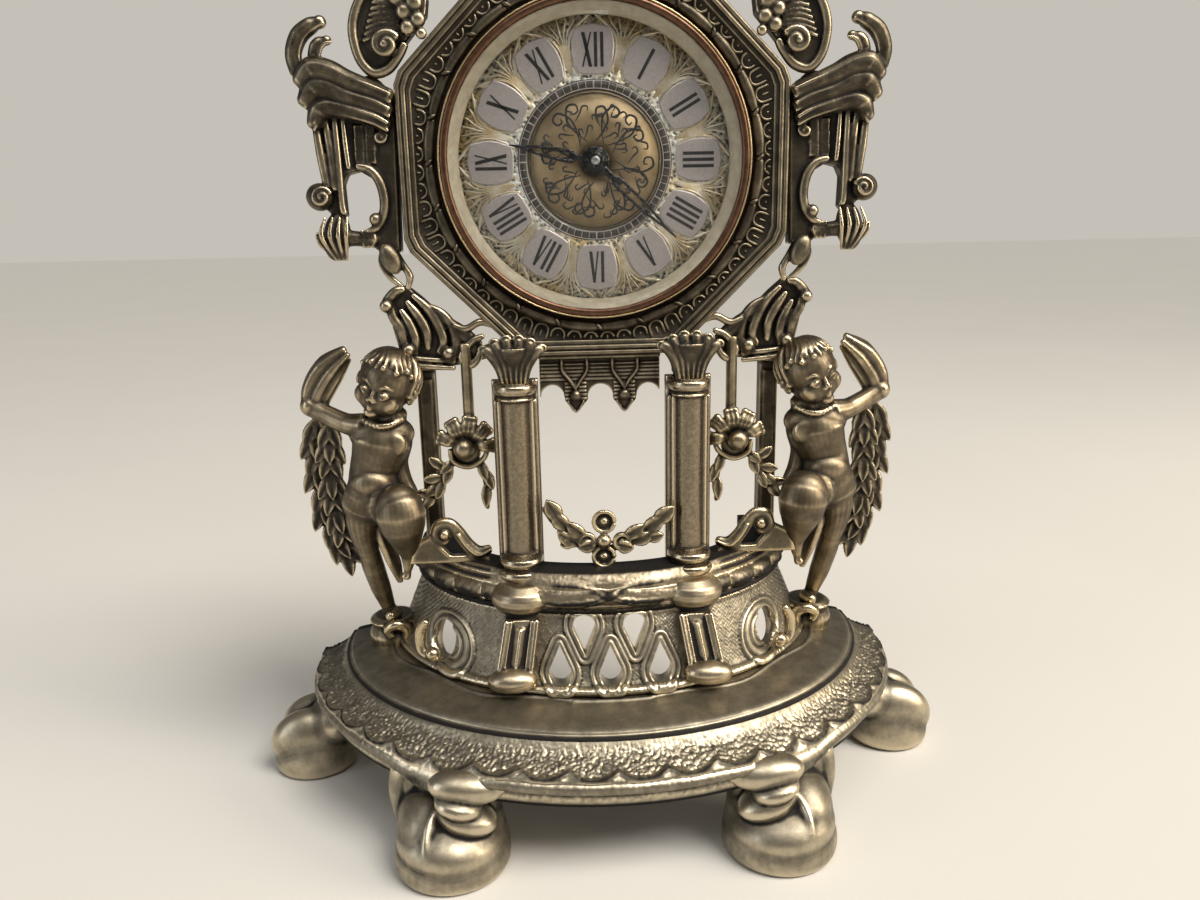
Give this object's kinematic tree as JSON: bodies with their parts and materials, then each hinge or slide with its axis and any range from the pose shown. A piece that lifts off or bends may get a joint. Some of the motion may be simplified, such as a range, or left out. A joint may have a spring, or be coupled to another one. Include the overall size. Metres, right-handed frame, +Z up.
{
  "type": "figural mantel clock",
  "caption": "Cast metal figural clock with an octagonal dial frame on columns and figures over a pierced half-oval gallery on feet.",
  "frame": {"origin": "centre of the bounding box at the height of the foot soles", "axes": "+Z up, -Y towards the viewer who reads the dial, +X to that viewer's right"},
  "size_m": [0.1744, 0.0874, 0.2421],
  "materials": {
    "base_bronze": "antiqued, olive brown in the recesses, worn on the edges",
    "figure_bronze": "antiqued gilt, dark patina in the recesses, rubbed bright on raised parts",
    "copper_rim": "polished copper brown",
    "clear_glass": "clear, polished",
    "cream_ring": "satin cream",
    "dial_plate": "embossed, gilt centre and silvered numeral plates",
    "black_hands": "semi-gloss black",
    "steel": "brushed",
    "case_brass": "spun, lightly tarnished",
    "movement_brass": "machined",
    "key_brass": "cast, polished by handling"
  },
  "bodies": {
    "clock": {"base_plinth": "base_bronze", "front_foot_left": "base_bronze", "front_foot_right": "base_bronze", "side_foot_left": "base_bronze", "side_foot_right": "base_bronze", "gallery_wall": "base_bronze", "gallery_ledge": "figure_bronze", "column_left": "figure_bronze", "column_right": "figure_bronze", "capital_left": "figure_bronze", "capital_right": "figure_bronze", "pedestal_left": "figure_bronze", "pedestal_right": "figure_bronze", "pilaster_left": "figure_bronze", "pilaster_right": "figure_bronze", "garland_left": "figure_bronze", "garland_right": "figure_bronze", "centre_swag": "figure_bronze", "cherub_left": "figure_bronze", "cherub_right": "figure_bronze", "festoon_left": "figure_bronze", "festoon_right": "figure_bronze", "dial_frame": "figure_bronze", "rope_ring": "figure_bronze", "valance": "figure_bronze", "side_arm_left": "figure_bronze", "side_arm_right": "figure_bronze", "shell_left": "figure_bronze", "shell_right": "figure_bronze", "bracket_left": "figure_bronze", "bracket_right": "figure_bronze", "crest": "figure_bronze", "finial": "figure_bronze", "bezel": "copper_rim", "glass": "clear_glass", "dial_surround": "cream_ring", "dial": "dial_plate", "movement_case": "case_brass", "back_cover": "case_brass", "front_plate": "movement_brass", "back_plate": "movement_brass", "plate_pillars": "movement_brass", "case_screws": "steel"},
    "minute_train": {"centre_wheel": "movement_brass", "minute_hand": "black_hands", "hand_nut": "steel", "setting_knob": "key_brass"},
    "hour_train": {"hour_wheel": "movement_brass", "hour_hand": "black_hands"},
    "motion_train": {"motion_wheel": "movement_brass"},
    "barrel": {"mainspring_barrel": "movement_brass", "mainspring": "steel"},
    "third_train": {"third_wheel": "movement_brass"},
    "escape_train": {"escape_wheel": "movement_brass"},
    "winder": {"winding_arbor": "steel", "winding_key": "key_brass"},
    "click_pawl": {"click": "steel"},
    "lever": {"pallet_lever": "steel"},
    "balance": {"balance_wheel": "movement_brass", "balance_spring": "steel"}
  },
  "joints": [
    {"name": "minute_turn", "type": "hinge", "parent": "clock", "child": "minute_train", "pos_m": [0, 0.0046, 0.1495], "axis": [0, 1, 0], "continuous": true},
    {"name": "hour_turn", "type": "hinge", "parent": "clock", "child": "hour_train", "pos_m": [0, 0.0055, 0.1495], "axis": [0, 1, 0], "continuous": true},
    {"name": "motion_turn", "type": "hinge", "parent": "clock", "child": "motion_train", "pos_m": [0.0042, 0.009, 0.14223], "axis": [0, 1, 0], "continuous": true},
    {"name": "barrel_turn", "type": "hinge", "parent": "clock", "child": "barrel", "pos_m": [-0.00803, 0.016, 0.13803], "axis": [0, 1, 0], "continuous": true},
    {"name": "third_turn", "type": "hinge", "parent": "clock", "child": "third_train", "pos_m": [0.0048, 0.018, 0.15781], "axis": [0, 1, 0], "continuous": true},
    {"name": "escape_turn", "type": "hinge", "parent": "clock", "child": "escape_train", "pos_m": [-0.00351, 0.014, 0.16261], "axis": [0, 1, 0], "continuous": true},
    {"name": "winding_turn", "type": "hinge", "parent": "clock", "child": "winder", "pos_m": [-0.00803, 0.03, 0.13803], "axis": [0, 1, 0], "continuous": true},
    {"name": "click_lift", "type": "hinge", "parent": "clock", "child": "click_pawl", "pos_m": [-0.01273, 0.026, 0.14617], "axis": [0, 1, 0], "range_deg": [0, 12], "stiffness_Nm_per_rad": 0.0002, "springref_deg": -2.86},
    {"name": "lever_rock", "type": "hinge", "parent": "clock", "child": "lever", "pos_m": [-0.0102, 0.014, 0.1645], "axis": [0, 1, 0], "range_deg": [-5, 5]},
    {"name": "balance_swing", "type": "hinge", "parent": "clock", "child": "balance", "pos_m": [-0.017, 0.019, 0.1597], "axis": [0, 1, 0], "range_deg": [-150, 150], "stiffness_Nm_per_rad": 0.000006}
  ],
  "couplings": [
    {"joint": "hour_turn", "follows": "minute_turn", "ratio": 0.083333},
    {"joint": "motion_turn", "follows": "minute_turn", "ratio": -0.33333},
    {"joint": "barrel_turn", "follows": "minute_turn", "ratio": -0.16667},
    {"joint": "third_turn", "follows": "minute_turn", "ratio": -5},
    {"joint": "escape_turn", "follows": "minute_turn", "ratio": 25}
  ]
}
